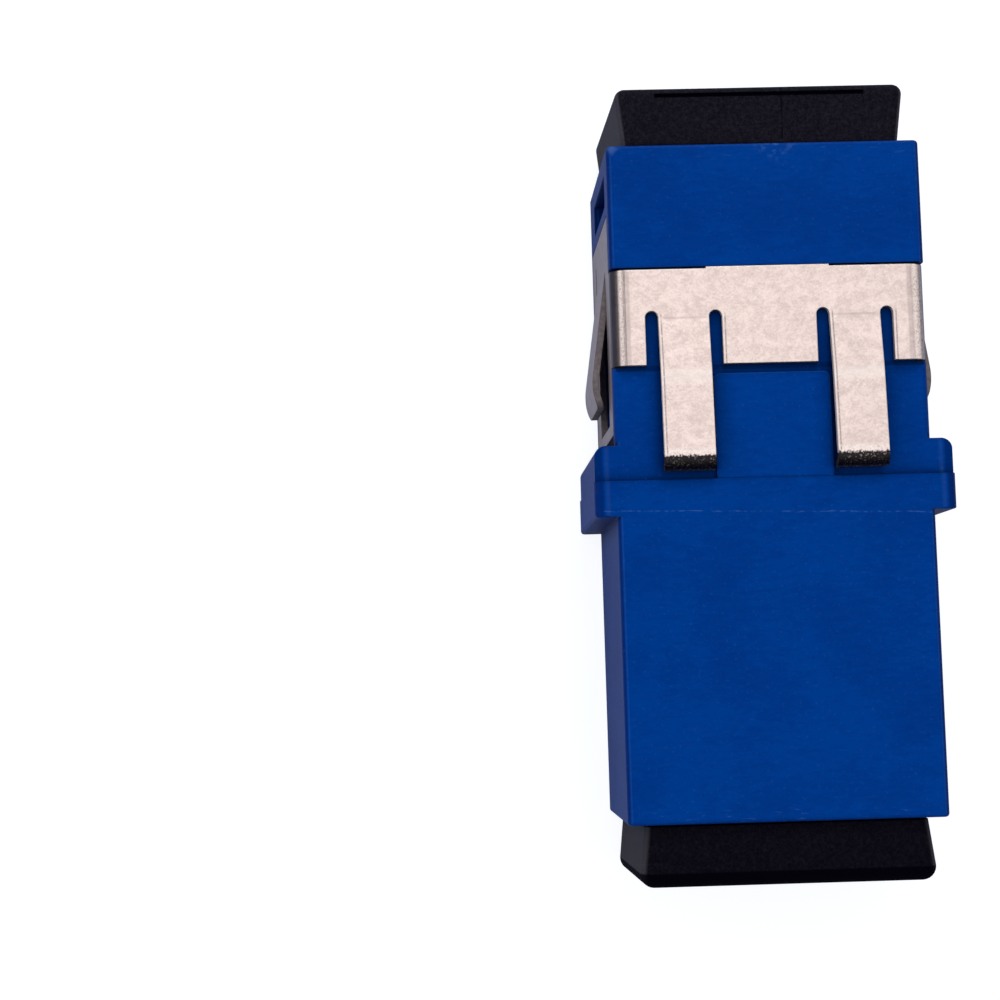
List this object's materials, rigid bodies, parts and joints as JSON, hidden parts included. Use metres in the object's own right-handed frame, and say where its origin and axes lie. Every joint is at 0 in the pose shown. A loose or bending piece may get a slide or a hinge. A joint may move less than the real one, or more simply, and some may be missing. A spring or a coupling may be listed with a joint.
{
  "type": "sc simplex fibre adapter",
  "caption": "Simplex SC fibre adapter with a slim flange, a folded steel mounting clip on one face and a dust plug in each socket.",
  "frame": {"origin": "middle of the key face, below the middle of the flange", "axes": "+Y along the fibre towards the clip end, +Z from the key face up to the clip face, +X across"},
  "size_m": [0.0146, 0.0324, 0.0099],
  "materials": {
    "housing_plastic": "satin moulded blue",
    "holder_plastic": "satin moulded blue",
    "sleeve_ceramic": "polished white ceramic",
    "clip_steel": "bright rolled sheet",
    "plug_plastic": "finely grained black"
  },
  "bodies": {
    "adapter": {"front_housing": "housing_plastic", "rear_housing": "housing_plastic", "front_latch_holder": "holder_plastic", "rear_latch_holder": "holder_plastic", "split_sleeve": "sleeve_ceramic", "mounting_clip": "clip_steel"},
    "front_plug": {"front_dust_plug": "plug_plastic"},
    "rear_plug": {"rear_dust_plug": "plug_plastic"}
  },
  "joints": [
    {"name": "front_plug_slide", "type": "slide", "parent": "adapter", "child": "front_plug", "axis": [0, 1, 0], "range_m": [0, 0.02]},
    {"name": "rear_plug_slide", "type": "slide", "parent": "adapter", "child": "rear_plug", "axis": [0, -1, 0], "range_m": [0, 0.02]}
  ]
}
